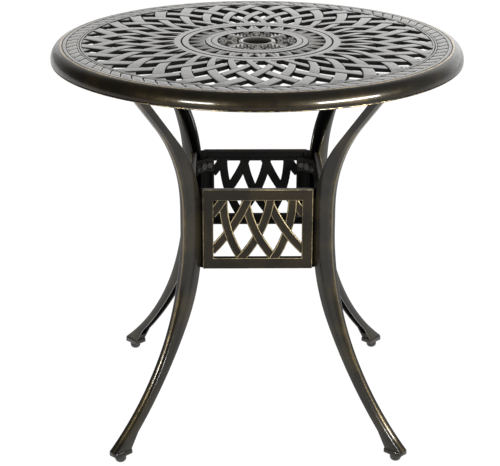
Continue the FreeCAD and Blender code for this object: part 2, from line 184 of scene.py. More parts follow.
floor_material, nodes, links = new_material("studio_paper")
tree = floor_material.node_tree
paper = nodes.new("ShaderNodeBsdfDiffuse")
paper.inputs["Color"].default_value = (paper_grey, paper_grey, paper_grey, 1)
white = nodes.new("ShaderNodeEmission")
white.inputs["Strength"].default_value = white_strength
share = math_node(tree, "MULTIPLY", looking_rays(tree), white_share)
mixed = mix_shaders(tree, share, paper.outputs[0], white.outputs[0])
links.new(mixed, nodes.new("ShaderNodeOutputMaterial").inputs["Surface"])
floor_mesh.materials.append(floor_material)
print("floor", 2 * floor_half, "m across")

# %% World
fill_left, fill_right = 0.45, 1.0  # light on the metal
mirror_left, mirror_right = 0.2, 2.0  # how bright each side of the room is in a mirror
room_shade, sweep_white = 0.22, 0.98
sweep_start, sweep_end = 0.48, 0.84  # where the room ends and the sweep begins, along Y

world = bpy.data.worlds.new("studio_world")
bpy.context.scene.world = world
world.use_nodes = True
tree = world.node_tree
tree.nodes.clear()
direction = tree.nodes.new("ShaderNodeSeparateXYZ")
tree.links.new(tree.nodes.new("ShaderNodeTexCoord").outputs["Generated"], direction.inputs[0])


def background(strength):
    node = tree.nodes.new("ShaderNodeBackground")
    node.inputs["Color"].default_value = (1, 1, 1, 1)
    plug(tree, strength, node.inputs["Strength"])
    return node.outputs[0]


sweep = ramp(tree, direction.outputs["Y"], sweep_start, sweep_end, room_shade, sweep_white)
sides = ramp(tree, direction.outputs["X"], -1.0, 1.0, mirror_left, mirror_right)
glow = ramp(tree, direction.outputs["X"], -0.8, 0.8, fill_left, fill_right)
camera_ray = tree.nodes.new("ShaderNodeLightPath").outputs["Is Camera Ray"]
seen = mix_shaders(tree, camera_ray, background(math_node(tree, "MULTIPLY", sweep, sides)),
                   background(1.0))
mixed = mix_shaders(tree, looking_rays(tree), background(glow), seen)
tree.links.new(mixed, tree.nodes.new("ShaderNodeOutputWorld").inputs["Surface"])
print("world fill", fill_left, "to", fill_right, "room", room_shade, "sweep", sweep_white)

# %% Lamps


def softbox(name, azimuth, elevation, distance, width, height, power, seen="both"):
    """A soft rectangle of light aimed at the table; azimuth 0 is the camera's side.

    seen is "mirror" for a lamp that only shows in the gloss and "light" for one that never does.
    """
    data = bpy.data.lights.new(name, "AREA")
    data.shape = "RECTANGLE"
    data.size, data.size_y = width, height
    data.energy = power
    lamp = add_object(name, data)
    a, e = math.radians(azimuth), math.radians(elevation)
    away = Vector((math.sin(a) * math.cos(e), -math.cos(a) * math.cos(e), math.sin(e)))
    lamp.location = Vector((0, 0, 0.5)) + away * distance
    lamp.rotation_euler = away.to_track_quat("Z", "Y").to_euler()
    lamp.visible_glossy = seen != "light"
    lamp.visible_diffuse = seen != "mirror"
    return lamp


strip_right = softbox("strip_right", 46, 18, 2.6, 1.5, 0.34, 180, "mirror")
strip_left = softbox("strip_left", -31, 18, 2.6, 0.7, 0.3, 60, "mirror")
strip_legs = softbox("strip_legs", 48, 42, 2.6, 1.1, 0.4, 90, "mirror")
softbox("front_right", 42, 24, 2.6, 1.0, 0.6, 34, "light")
softbox("front_left", -45, 26, 2.6, 1.0, 0.6, 16, "light")
softbox("box_left", -80, 40, 2.4, 1.0, 0.8, 8, "light")
softbox("box_rear", 180, 14, 2.8, 3.2, 0.9, 4.8)
softbox("box_above", 0, 88, 2.6, 2.0, 2.0, 13, "light")
bpy.context.scene.view_settings.view_transform = "Standard"

# %% [markdown]
# ## Growing meshes from rings of points
#
# Every casting here is a bar, a ring or a block whose outline changes slowly along its way. Such
# shapes can be carved from primitives, but lofting is more exact: give the outline at each station
# along the way, and join each outline to the next. Each point also carries two numbers that the
# finish will read: how much the maker's cloth rubs it, and how much painted shade it gets in a
# hollow, on a back or on a wall, which partly stands for the dark paint left in hollows.

# %% A mesh that grows by lofting


class Casting:
    """One mesh, grown from lofts; rub and painted shade are kept for every point."""

    def __init__(self):
        self.points, self.rub, self.deep, self.faces = [], [], [], []
        self.count = 0

    def loft(self, rings, rub=0.0, deep=0.0, closed=False):
        """Joins outlines of equal length; a closed loft also joins the last to the first."""
        rings = np.asarray(rings, float)
        stations, around = rings.shape[:2]
        self.points.append(rings.reshape(-1, 3))
        self.rub.append(np.broadcast_to(rub, (stations, around)).reshape(-1))
        self.deep.append(np.broadcast_to(deep, (stations, around)).reshape(-1))
        index = self.count + np.arange(stations * around).reshape(stations, around)
        self.count += stations * around
        following = np.roll(index, -1, axis=0)
        corners = [index, np.roll(index, -1, axis=1), np.roll(following, -1, axis=1), following]
        bands = stations if closed else stations - 1
        self.faces += np.stack(corners, axis=-1)[:bands].reshape(-1, 4).tolist()
        if not closed:
            self.faces += [index[0][::-1].tolist(), index[-1].tolist()]

    def mesh(self, name):
        """The points and faces as a Blender mesh, in metres."""
        mesh = bpy.data.meshes.new(name)
        mesh.from_pydata(np.concatenate(self.points) * mm, [], self.faces)
        return mesh


def smooth(value):
    """Eases in and out between 0 and 1."""
    value = np.clip(value, 0, 1)
    return value * value * (3 - 2 * value)


def turned(points, degrees):
    """Points turned about the table's axis."""
    c, s = math.cos(math.radians(degrees)), math.sin(math.radians(degrees))
    points = np.asarray(points, float)
    x, y, z = points[..., 0], points[..., 1], points[..., 2]
    return np.stack([c * x - s * y, s * x + c * y, z], axis=-1)


def polar(radius, degrees, z):
    """Points from radius, direction and height."""
    radius, angle, z = np.broadcast_arrays(radius, np.radians(degrees), z)
    return np.stack([radius * np.cos(angle), radius * np.sin(angle), z], axis=-1)


def lathe(casting, profile, segments):
    """Turns a closed profile of (radius, height, rub, painted shade) about the table's axis."""
    radius, height, rub, deep = np.asarray(profile, float).T
    angles = np.arange(segments)[:, None] * 360.0 / segments
    casting.loft(polar(radius, angles, height), rub, deep, closed=True)


print("loft, turn and lathe are ready")

# %% Turn a casting into a piece on the table


def piece(name, casting, finish, stands_for, sharp=32.0):
    """Makes the object, keeps crisp edges where faces meet sharply, and rides it on the table."""
    mesh = casting.mesh(name)
    for label in ("rub", "deep"):
        values = np.concatenate(getattr(casting, label)).astype(np.float32)
        mesh.attributes.new(label, "FLOAT", "POINT").data.foreach_set("value", values)
    solid = bmesh.new()
    solid.from_mesh(mesh)
    bmesh.ops.dissolve_degenerate(solid, dist=1e-6, edges=solid.edges)
    bmesh.ops.recalc_face_normals(solid, faces=solid.faces)
    solid.to_mesh(mesh)
    solid.free()
    mesh.polygons.foreach_set("use_smooth", [True] * len(mesh.polygons))
    mesh.set_sharp_from_angle(angle=math.radians(sharp))
    mesh.materials.append(finish)
    made = add_object(name, mesh)
    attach(made, "table")
    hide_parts(stands_for)
    print(name, "faces", len(mesh.polygons))
    return made


# %% [markdown]
# ## The antique bronze finish
#
# The maker sprays dark brown over the casting, then drags bronze paint over it with a cloth. The
# cloth misses creases and leaves most metal on edges and ridges, in broken streaks. Edge wear can
# come from a shader's pointiness, but that depends on how dense the mesh is. Here each mesh says
# where it is rubbed and where it lies in shade, and one node group breaks those masks up with
# noise.
# The shade mask paints hollows, backs and walls near black and takes their gloss away. This is
# partly the dark paint left in hollows and mostly painted shade. Every bronze material uses the
# same group with its own colours.

# %% Noise and colour


def noise_node(tree, vector, scale, detail, roughness=0.55):
    node = tree.nodes.new("ShaderNodeTexNoise")
    node.inputs["Scale"].default_value = scale
    node.inputs["Detail"].default_value = detail
    node.inputs["Roughness"].default_value = roughness
    tree.links.new(vector, node.inputs["Vector"])
    return node.outputs["Fac"]


def around_zero(tree, noise, amount):
    """Noise moved to swing about 0, times an amount."""
    return math_node(tree, "MULTIPLY", math_node(tree, "SUBTRACT", noise, 0.5), amount)


def blend_colour(tree, share, first, second):
    node = tree.nodes.new("ShaderNodeMix")
    node.data_type = "RGBA"
    for label, value in (("Factor", share), ("A", first), ("B", second)):
        tree.links.new(value, node.inputs[label])
    return node.outputs["Result"]


print("noise and colour functions are ready")

# %% The worn bronze group
bronze_inputs = {"Color": ("Base", "Warm", "Brass", "Crease"),
                 "Float": ("Rub", "Deep", "Brass Amount", "Patchiness", "Streaks", "Speckle",
                           "Roughness", "Metal Flake", "Lacquer")}
bronze_outputs = {"Color": ("Color",), "Float": ("Roughness", "Height", "Metallic", "Coat")}
# Noise scales per metre: patches of 70 mm, streaks of 8 mm, specks and grain of about 1 mm
patch_scale, streak_scale, speck_scale, grain_scale = 14.0, 120.0, 900.0, 1700.0
# Each mask is 0 below its first limit and 1 above its second
warm_limits, brass_limits = (0.42, 0.66), (0.42, 0.85)
rub_limits, shade_and_patina_limits = (0.02, 0.25), (0.15, 0.8)
bronze_relief, fitting_relief = 0.0004, 0.0003  # how deep the bumps are, in metres


def worn_bronze_group():
    """Where paint, brass and painted shade lie, from the rub and shade masks broken up by noise.
    """
    tree = bpy.data.node_groups.new("worn_bronze", "ShaderNodeTree")
    for way, sockets in (("INPUT", bronze_inputs), ("OUTPUT", bronze_outputs)):
        for kind, labels in sockets.items():
            for label in labels:
                tree.interface.new_socket(name=label, in_out=way, socket_type="NodeSocket" + kind)
    given = tree.nodes.new("NodeGroupInput").outputs
    result = tree.nodes.new("NodeGroupOutput").inputs
    place = tree.nodes.new("ShaderNodeTexCoord").outputs["Object"]
    cloud = noise_node(tree, place, patch_scale, 3.0)
    streak = noise_node(tree, place, streak_scale, 4.0, 0.65)
    speck = noise_node(tree, place, speck_scale, 2.0)
    grain = noise_node(tree, place, grain_scale, 1.0)

    def add(first, second, clamp=False):
        return math_node(tree, "ADD", first, second, clamp)

    def times(first, second, clamp=False):
        return math_node(tree, "MULTIPLY", first, second, clamp)

    # Brass lies where the rub, raised or lowered by the noises, is strong enough
    broken = add(around_zero(tree, streak, given["Streaks"]),
                 around_zero(tree, cloud, given["Patchiness"]))
    reach = add(given["Rub"], add(broken, around_zero(tree, speck, given["Speckle"])))
    brass = times(ramp(tree, reach, *brass_limits), given["Brass Amount"], clamp=True)
    brass = times(brass, ramp(tree, given["Rub"], *rub_limits))
    painted = blend_colour(tree, ramp(tree, cloud, *warm_limits), given["Base"], given["Warm"])
    colour = blend_colour(tree, brass, painted, given["Brass"])
    # Painted shade: where the shade mask is high, the colour goes near black and the metal and
    # coat go, partly the dark paint in hollows
    shade_and_patina_share = ramp(tree, given["Deep"], *shade_and_patina_limits)
    outside_shade_and_patina = math_node(tree, "SUBTRACT", 1.0, shade_and_patina_share)
    rough = add(given["Roughness"], around_zero(tree, streak, 0.22))
    for label, value in (("Color", blend_colour(tree, shade_and_patina_share, colour, given["Crease"])),
                         ("Roughness", add(rough, times(shade_and_patina_share, 0.25), clamp=True)),
                         ("Height", add(times(grain, 0.35), times(streak, 0.65))),
                         ("Metallic", times(add(times(brass, 0.8), given["Metal Flake"],
                                                clamp=True), outside_shade_and_patina)),
                         ("Coat", times(given["Lacquer"], outside_shade_and_patina))):
        tree.links.new(value, result[label])
    return tree


worn_bronze = worn_bronze_group()
print("worn_bronze has", len(worn_bronze.nodes), "nodes")

# %% Bronze materials


def raise_surface(nodes, links, skin, height, strength, distance):
    """Bumps a Principled shader with a height and makes it the material's surface."""
    relief = nodes.new("ShaderNodeBump")
    relief.inputs["Strength"].default_value = strength
    relief.inputs["Distance"].default_value = distance
    links.new(height, relief.inputs["Height"])
    links.new(relief.outputs[0], skin.inputs["Normal"])
    links.new(skin.outputs[0], nodes.new("ShaderNodeOutputMaterial").inputs["Surface"])


def bronze(name, colours, numbers, specular, coat_roughness, bump):
    """A painted casting: the group's colours and numbers, and how its paint and lacquer shine."""
    material, nodes, links = new_material(name)
    group = nodes.new("ShaderNodeGroup")
    group.node_tree = worn_bronze
    for label, colour in colours.items():
        group.inputs[label].default_value = (*colour, 1)
    for label, number in numbers.items():
        group.inputs[label].default_value = number
    for label, attribute in (("Rub", "rub"), ("Deep", "deep")):
        reader = nodes.new("ShaderNodeAttribute")
        reader.attribute_name = attribute
        links.new(reader.outputs["Fac"], group.inputs[label])
    skin = nodes.new("ShaderNodeBsdfPrincipled")
    skin.inputs["Specular IOR Level"].default_value = specular
    skin.inputs["Coat Roughness"].default_value = coat_roughness
    for label, socket in (("Color", "Base Color"), ("Roughness", "Roughness"),
                          ("Metallic", "Metallic"), ("Coat", "Coat Weight")):
        links.new(group.outputs[label], skin.inputs[socket])
    raise_surface(nodes, links, skin, group.outputs["Height"], bump, bronze_relief)
    return material


# Near black painted shade for hollows, backs and walls, partly the dark paint left in them
shade_and_patina_black = (0.004, 0.0037, 0.0033)
# The top's paint is lighter and greyer than the other castings' paint: painted sheen for the grey
# gloss of the flat top
top_bronze_painted_sheen = bronze(
    "bronze_top",
    {"Base": (0.092, 0.090, 0.087), "Warm": (0.104, 0.099, 0.090),
     "Brass": (0.42, 0.38, 0.31), "Crease": (0.010, 0.0097, 0.0093)},
    {"Brass Amount": 0.7, "Patchiness": 1.2, "Streaks": 1.1, "Speckle": 0.5,
     "Roughness": 0.36, "Metal Flake": 0.25, "Lacquer": 0.70},
    specular=0.05, coat_roughness=0.25, bump=0.5)
rim_bronze = bronze(
    "bronze_rim",
    {"Base": (0.013, 0.0107, 0.0062), "Warm": (0.024, 0.0175, 0.008),
     "Brass": (0.48, 0.35, 0.16), "Crease": shade_and_patina_black},
    {"Brass Amount": 0.8, "Patchiness": 0.25, "Streaks": 1.1, "Speckle": 0.8,
     "Roughness": 0.34, "Metal Flake": 0.65, "Lacquer": 0.40},
    specular=0.1, coat_roughness=0.1, bump=0.4)
leg_bronze = bronze(
    "bronze_leg",
    {"Base": (0.016, 0.014, 0.0105), "Warm": (0.032, 0.026, 0.014),
     "Brass": (0.20, 0.145, 0.062), "Crease": shade_and_patina_black},
    {"Brass Amount": 0.7, "Patchiness": 0.8, "Streaks": 0.3, "Speckle": 0.15,
     "Roughness": 0.38, "Metal Flake": 0.4, "Lacquer": 0.55},
    specular=0.08, coat_roughness=0.16, bump=0.08)
panel_bronze = bronze(
    "bronze_panel",
    {"Base": (0.014, 0.0115, 0.0078), "Warm": (0.024, 0.0185, 0.010),
     "Brass": (0.30, 0.24, 0.13), "Crease": shade_and_patina_black},
    {"Brass Amount": 0.8, "Patchiness": 1.2, "Streaks": 1.1, "Speckle": 0.5,
     "Roughness": 0.55, "Metal Flake": 0.25, "Lacquer": 0.12},
    specular=0.08, coat_roughness=0.3, bump=0.7)
print("bronze materials:", [m.name for m in (top_bronze_painted_sheen, rim_bronze, leg_bronze, panel_bronze)])

# %% [markdown]
# ## The woven part of the top
#
# Sixty flat bars, thirty leaning each way, fan out from the inner rings to the border. They cross
# in four rings of crossings and pass over and under in turn. A plate with holes would show the
# openings but lose the weave, and a displaced grid would blur its edges. So each bar is lofted
# along its own curve. Its stations lean to lie along the bars that cross it, which puts a crisp
# groove exactly where a bar dives under its neighbour.

# %% Where the bars run
table_height, plate_bottom, weave_bottom = 735.0, 729.0, 728.2
lattice_outer, lattice_inner = 323.1, 153.1
lattice_phase = 1.8  # degrees
bars_each_way, crossings = 30, 4
row_turn = 180.0 / bars_each_way  # how far a bar turns from one row of crossings to the next
# How the rows are spread between the border and the inner rings
crossing_rows, first_crossing, row_evenness = 3.8, 0.43, 0.852
half_angle_outer, half_angle_inner = 2.72, 1.95  # half the width of a bar, in degrees
dome_rise, dome_width = 1.2, 130.0


def row_radius(row):
    share = (row + first_crossing) / crossing_rows
    depth = row_evenness * share + (1 - row_evenness) * share ** 2
    return lattice_outer - (lattice_outer - lattice_inner) * depth


def dome(radius):
    """How far the top rises towards its middle."""
    share = np.clip((lattice_outer - radius) / dome_width, 0, 1)
    return dome_rise * share * (2 - share)


def half_angle(row):
    share = (row_radius(row) - lattice_inner) / (lattice_outer - lattice_inner)
    return half_angle_inner + (half_angle_outer - half_angle_inner) * share


def crossing_edge(crossing, side, across):
    """The row at which a bar's point meets the edge of the bar that crosses it."""
    row = crossing + (side - across) * 0.25
    for _ in range(12):
        row = crossing + (side - across) * half_angle(row) / (2 * row_turn)
    return row


print("crossing radii", [round(float(row_radius(k)), 1) for k in range(crossings)])

# %% Loft one bar
across_steps = np.array([-1.0, -0.965, -0.9, -0.5, 0.0, 0.5, 0.9, 0.965, 1.0])
across_drop = np.array([-0.85, -0.22, 0.0, 0.0, 0.0, 0.0, 0.0, -0.22, -0.85])
across_rub = np.array([0.35, 0.62, 0.25, 0.1, 0.08, 0.1, 0.25, 0.62, 0.35])
# The bars' outer edges get painted shade, and so do their side walls and undersides
across_shade_and_patina = np.array([1.0, 0, 0, 0, 0, 0, 0, 0, 1.0])
walls = [-1, -1, 0, 0]  # the side walls go down from the last point of the face and the first
wall_drop, under_gap = 0.7, 0.25
dive, dive_rub_loss = 1.5, 0.7
# Along a gap, from where a bar is under to where it is over: share of the way, depth, and painted
# shade, which darkens the bar where it dives under its neighbour
dive_path = ((0.0, 1.0, 1.0), (0.05, 0.97, 1.0), (0.085, 0.42, 0.45), (0.14, 0.36, 0.0),
             (0.3, 0.26, 0.0), (0.55, 0.12, 0.0), (0.8, 0.02, 0.0), (1.0, 0.0, 0.0))


def bar_stations(over_first):
    """(row at each across step, depth, painted shade) from the border to the inner rings."""
    outer_end = np.full(across_steps.shape, -first_crossing - 0.03)
    inner_end = np.full(across_steps.shape, crossing_rows - first_crossing + 0.05)
    enter, leave = [[crossing_edge(k, side, across_steps) for k in range(crossings)]
                    for side in (-1, 1)]
    under = [(k % 2 == 0) != over_first for k in range(crossings)]
    first, last = float(under[0]), float(under[-1])
    stations = []

    def walk(start, end, path):
        for share, depth, shade_and_patina_share in path:
            row = np.clip(start + (end - start) * share, outer_end, inner_end)
            stations.append((row, depth, shade_and_patina_share))

    walk(outer_end, enter[0], [(share, 1 + (first - 1) * share, float(share == 0))
                               for share in (0.0, 0.12, 0.6)])
    for k in range(crossings):
        if k > 0:
            path = dive_path if under[k - 1] else [(1 - t, d, c) for t, d, c in dive_path[::-1]]
            walk(leave[k - 1], enter[k], path[1:-1])
        walk(enter[k], leave[k], [(share, float(under[k]), float(under[k]))
                                  for share in (0.0, 0.25, 0.5, 0.75, 1.0)])
    walk(leave[-1], inner_end, [(share, last + (0.5 - last) * share, 0.7 * (share == 1))
                                for share in (0.1, 0.4, 0.75, 1.0)])
    return stations


def stacked(slices):
    """Rings, rub and painted shade from slices of (face points, back points, face rub, face
    shade); every back point is in full painted shade.
    """
    rings = [np.concatenate([face, back]) for face, back, _, _ in slices]
    rubs = [np.concatenate([rub, np.zeros(len(back))]) for _, back, rub, _ in slices]
    shade_and_patina_rows = [np.concatenate([deep, np.ones(len(back))]) for _, back, _, deep in slices]
    return np.array(rings), np.array(rubs), np.array(shade_and_patina_rows)


def bar(lean, over_first, underside):
    """The slices of the bar that starts at direction 0."""
    slices = []
    for row, depth, shade_and_patina_share in bar_stations(over_first):
        radius = row_radius(row)
        direction = lean * row_turn * row + across_steps * half_angle(row) * lean
        top = table_height - dive * depth + across_drop + dome(radius)
        heights = (top[-1] - wall_drop, underside, underside, top[0] - wall_drop)
        slices.append((polar(radius, direction, top),
                       polar(radius[walls], direction[walls], heights),
                       across_rub * (1 - dive_rub_loss * depth), np.maximum(across_shade_and_patina, shade_and_patina_share)))
    return stacked(slices)


weave = Casting()
for place in range(bars_each_way):
    for lean, over_first in ((1, True), (-1, False)):
        rings, rubs, shade_and_patina_rows = bar(lean, over_first, weave_bottom + (not over_first) * under_gap)
        start = lattice_phase - lean * row_turn + 2 * row_turn * place
        weave.loft(turned(rings, start), rubs, shade_and_patina_rows)
piece("top_weave", weave, top_bronze_painted_sheen, "table_top")

# %% [markdown]
# ## Rim, border and brick band
#
# Outside the weave come a plain ring, a band of small slanted bricks, another ring and then the
# rounded rim that turns down into a skirt with a thin bead. Border and rim are two closed profiles
# turned about the axis, because each has its own bronze: the border's is lighter, with painted
# sheen. The bricks lean, each along a slight S, so they are lofted one by one.

# %% Turned border and rim
flat_radius = 359.4
shoulder_width, shoulder_drop = 21.48, 24.8
casting_wall, casting_crown = 5.0, 6.0
band_outer, band_inner, band_floor = 351.7, 331.7, 1.9
skirt_bottom, bead_height = 705.0, 3.6


def raised(rows, base):
    """Profile rows with their heights measured from a base."""
    return [(radius, base + height, rub, deep) for radius, height, rub, deep in rows]


def groove(radius, depth, half_width):
    """Profile rows of a small flat-bottomed groove between two flats, its walls and bottom in
    painted shade, partly the dark paint that fills it.
    """
    side = ((1.0, -0.08, 0.35, 0.0), (0.9, -0.4, 0, 1.0), (0.8, -depth, 0, 1.0))
    return ([(radius - half_width * share, *row) for share, *row in side]
            + [(radius + half_width * share, *row) for share, *row in side[::-1]])


def border_profile():
    """(radius, height, rub, painted shade) of the flat border, from the weave out to the rim."""
    rows = [(lattice_outer - 1.0, -6.0, 0, 1), (lattice_outer - 1.0, -1.6, 0, 1),
            (lattice_outer + 0.6, -1.5, 0, 1), (lattice_outer + 0.7, -0.4, 0, 0.8),
            (lattice_outer + 1.1, 0.0, 0.3, 0), (lattice_outer + 2.6, 0.0, 0.15, 0)]
    rows += groove(lattice_outer + 4.6, 0.8, 0.9)
    rows += [(band_inner - 1.6, 0.0, 0.15, 0), (band_inner - 0.5, -0.12, 0.5, 0),
             (band_inner - 0.3, -0.5, 0, 1), (band_inner, -band_floor, 0, 1),
             (band_outer, -band_floor, 0, 1), (band_outer + 0.3, -0.5, 0, 1),
             (band_outer + 0.5, -0.12, 0.5, 0), (band_outer + 1.6, 0.0, 0.15, 0),
             (flat_radius - 1.8, 0.0, 0.2, 0)]
    rows += groove(flat_radius - 0.6, 0.8, 0.8)
    rows += [(flat_radius + 0.6, 0.0, 0.3, 0), (flat_radius + 0.6, -6.0, 0, 1)]
    return raised(rows, table_height)


def shoulder(width, drop, steps, rub):
    """Rows over a quarter of an ellipse, from the flat at step 0 to the skirt at the last."""
    rows = []
    for step in steps:
        t = math.pi / 2 * step / max(steps)
        rows.append((flat_radius + width * math.sin(t), drop * math.cos(t), *rub(t)))
    return raised(rows, table_height - shoulder_drop)


def shoulder_rub(t):
    """Bright where the shoulder turns over, with a faint second band low down."""
    band = 0.62 * math.exp(-((t - 0.16) / 0.07) ** 2) + 0.15
    return band + 0.1 * math.exp(-((t - 1.25) / 0.25) ** 2), 0.0


def rim_profile():
    """(radius, height, rub, painted shade) from the border over the shoulder and round the skirt.
    """
    rows = [(flat_radius + 0.3, plate_bottom, 0, 0.5), (flat_radius + 0.3, table_height, 0.6, 0)]
    rows += shoulder(shoulder_width, shoulder_drop, range(2, 23), shoulder_rub)
    rows += [(380.6, table_height - shoulder_drop - 0.9, 0.1, 0.2)]
    rows += raised([(379.2, 0.2, 0.0, 1.0), (379.4, -0.5, 0.1, 0.6), (380.3, -1.2, 0.45, 0.0),
                    (380.5, -2.0, 0.6, 0.0), (380.1, -2.8, 0.4, 0.0)],
                   skirt_bottom + bead_height)
    rows += raised([(379.0, 0.25, 0.2, 0.0), (377.5, 0.0, 0.1, 0.0), (375.4, 0.1, 0.2, 0.0),
                    (374.8, 0.8, 0.1, 0.0)], skirt_bottom)
    return rows + shoulder(shoulder_width - casting_wall, shoulder_drop - casting_crown,
                           range(8, -1, -1), lambda t: (0.0, 0.15))


for name, profile, finish in (("top_border", border_profile(), top_bronze_painted_sheen),
                              ("top_rim", rim_profile(), rim_bronze)):
    turned_part = Casting()
    lathe(turned_part, profile, 360)
    piece(name, turned_part, finish, "table_top")

# %% Slanted bricks
brick_count, brick_phase = 82, 252.5
brick_slant, brick_gap, brick_end_gap = 2.5, 0.42, 0.7
brick_steps = 8
brick_sides = np.array([-1.0, -0.9, -0.62, 0.0, 0.62, 0.9, 1.0])
brick_crown = np.array([-1.0, -0.28, -0.03, 0.08, -0.03, -0.28, -1.0])
brick_rub = np.array([0.1, 0.6, 0.3, 0.12, 0.3, 0.6, 0.1])
# The bricks' sides and backs get painted shade
brick_shade_and_patina = np.array([0.5, 0, 0, 0, 0, 0, 0.5])


def brick():
    """One brick: outlines across it, from the inner ring out to the outer ring."""
    pitch = 360.0 / brick_count
    half = pitch / 2 - brick_gap / 2
    slices = []
    for share in np.linspace(0, 1, brick_steps):
        radius = band_inner + brick_end_gap + (band_outer - band_inner - 2 * brick_end_gap) * share
        middle = pitch / 2 + brick_slant * (smooth(share) - 0.5)
        end = 0.35 * max(0.0, 1 - min(share, 1 - share) * 14)
        slices.append((polar(radius, middle + brick_sides * half,
                             table_height - 0.1 + brick_crown - end),
                       polar(radius, middle + brick_sides[[-1, 0]] * half,
                             table_height - band_floor - 0.6),
                       brick_rub + 0.3 * (share in (0, 1)), brick_shade_and_patina))
    return stacked(slices)


def repeat_round(casting, slices, count, phase):
    """Lofts the same slices over and over, evenly round the table's axis."""
    rings, rubs, shade_and_patina_rows = slices
    for place in range(count):
        casting.loft(turned(rings, phase + 360.0 * place / count), rubs, shade_and_patina_rows)


bricks = Casting()
repeat_round(bricks, brick(), brick_count, brick_phase)
piece("top_bricks", bricks, top_bronze_painted_sheen, "table_top")

# %% [markdown]
# ## Rings inside the weave
#
# Two flat rings, a wreath of small petals with a triangular hole at every second joint, two more
# rings and the leaf medallion fill the middle. The rings are turned. The wreath repeats 28 times,
# so half of one repeat is lofted from the joint line to the hole's edge and then mirrored.

# %% Flat rings
rings_casting = Casting()


def flat_ring(inner, groove_radius, groove_depth, outer, inner_lift, outer_lift, ledge):
    """A ring of two flats parted by a groove, with eased edges; each flat has its own lift."""
    rows = [(inner, -6.0, 0, 1), (inner, inner_lift - 0.9, 0, 1),
            (inner + 0.2, inner_lift - 0.4, 0.1, 0.6), (inner + 0.8, inner_lift, 0.4, 0),
            (inner + 2.0, inner_lift, 0.15, 0)]
    lifts = (inner_lift, inner_lift, 0.2, 0.2, outer_lift, outer_lift)
    for row, lift in zip(groove(groove_radius, groove_depth, groove_depth * 0.8 + 0.4), lifts):
        rows += raised([row], lift)
    rows += [(outer - 2.0, outer_lift, 0.15, 0), (outer - 0.8, outer_lift, 0.4, 0),
             (outer - 0.2, outer_lift - 0.4, 0.1, 0.6), (outer, outer_lift - 0.9, 0, 1),
             (outer, -2.4, 0, 1), (outer + ledge, -2.5, 0, 1),
             (outer + ledge, weave_bottom - table_height, 0, 1)]
    lathe(rings_casting, raised(rows, table_height), 240)


flat_ring(126.6, 140.0, 1.6, 154.4, 1.0, 0.8, 0.3)
flat_ring(73.4, 84.5, 0.6, 94.9, 1.4, 1.2, 1.6)
piece("top_rings", rings_casting, top_bronze_painted_sheen, "table_top")

# %% Wreath of petals and triangles
wreath_count, wreath_phase = 28, 8.9
wreath_inner, wreath_outer = 96.2, 127.2
triangle_base, triangle_tip, triangle_half = 126.0, 103.5, 4.2
petal_sink, petal_rise, triangle_ease = 1.0, 1.8, 0.6
petal_shares = np.array([0.0, 0.08, 0.2, 0.4, 0.6, 0.8, 0.92, 1.0])


def half_petal(side):
    """From the joint between two repeats to the triangle's edge, or to the line inside its tip."""
    radii = np.unique(np.concatenate([np.linspace(wreath_inner, triangle_tip, 7),
                                      np.linspace(triangle_tip, wreath_outer, 10)]))
    joint = 180.0 / wreath_count
    crown = np.sin(np.pi * petal_shares) ** 0.4
    rub = 0.12 + 0.45 * crown * (np.abs(petal_shares - 0.5) > 0.25)
    slices = []
    for radius in radii:
        into = max(0.0, (radius - triangle_tip) / (triangle_base - triangle_tip))
        opening = min(triangle_half * into ** 0.75, triangle_half) + 0.02
        direction = side * (joint + (opening - joint) * petal_shares)
        fall = np.clip((petal_shares - 0.9) / 0.1, 0, 1) * min(1.0, opening / 0.6)
        ends = min(1.0, (radius - wreath_inner) / 3.0, (wreath_outer - radius) / 3.0 + 0.25)
        top = (table_height - petal_sink + petal_rise * crown * (0.35 + 0.65 * ends)
               - triangle_ease * fall)
        # The low ground between petals, the slope into each triangle and the back get painted
        # shade
        slices.append((polar(radius, direction, top),
                       polar(radius, direction[[-1, -1, 0]],
                             (top[-1] - 0.3, weave_bottom, weave_bottom)),
                       rub, np.maximum(0.4 * np.clip(1 - 2.2 * crown, 0, 1), fall)))
    return stacked(slices)


wreath = Casting()
for side in (-1, 1):
    repeat_round(wreath, half_petal(side), wreath_count, wreath_phase)
piece("top_wreath", wreath, top_bronze_painted_sheen, "table_top")

# %% [markdown]
# ## The leaf medallion and the hub
#
# Round the umbrella hole four ribbed leaves lie on the diagonals. Between them are bead flowers in
# curled scrolls, and eight little holes let rain through. Leaves could be separate meshes, but a
# casting's relief flows into its ground, so one fine grid is raised by a height written as a
# formula. A boolean then drills the holes.

# %% Medallion relief
medallion_inner, medallion_outer = 34.6, 74.2
medallion_ground, medallion_rise = 2.0, 3.4
leaf_start, leaf_length, leaf_half, leaf_lobes = 37.0, 35.0, 21.0, 3.0
# Radius, direction from the middle of its quarter, and size
beads = ((64.0, 0.0, 3.6), (58.5, 9.5, 2.6), (58.5, -9.5, 2.6), (50.5, 0.0, 2.6), (40.5, 0.0, 3.0))
curls = ((64.0, 0.0, 6.2), (50.5, 0.0, 4.2), (67.0, 17.0, 4.0), (67.0, -17.0, 4.0),
         (44.0, 16.0, 4.2), (44.0, -16.0, 4.2))
curl_line = 1.5


def round_spots(radius, quarter, spots, shape):
    """The highest of a shape of (distance, size) drawn round each of several spots."""
    height = np.zeros_like(radius)
    for spot_radius, spot_angle, size in spots:
        offset = np.radians(quarter - spot_angle) * radius
        height = np.maximum(height, shape(np.hypot(radius - spot_radius, offset), size))
    return height


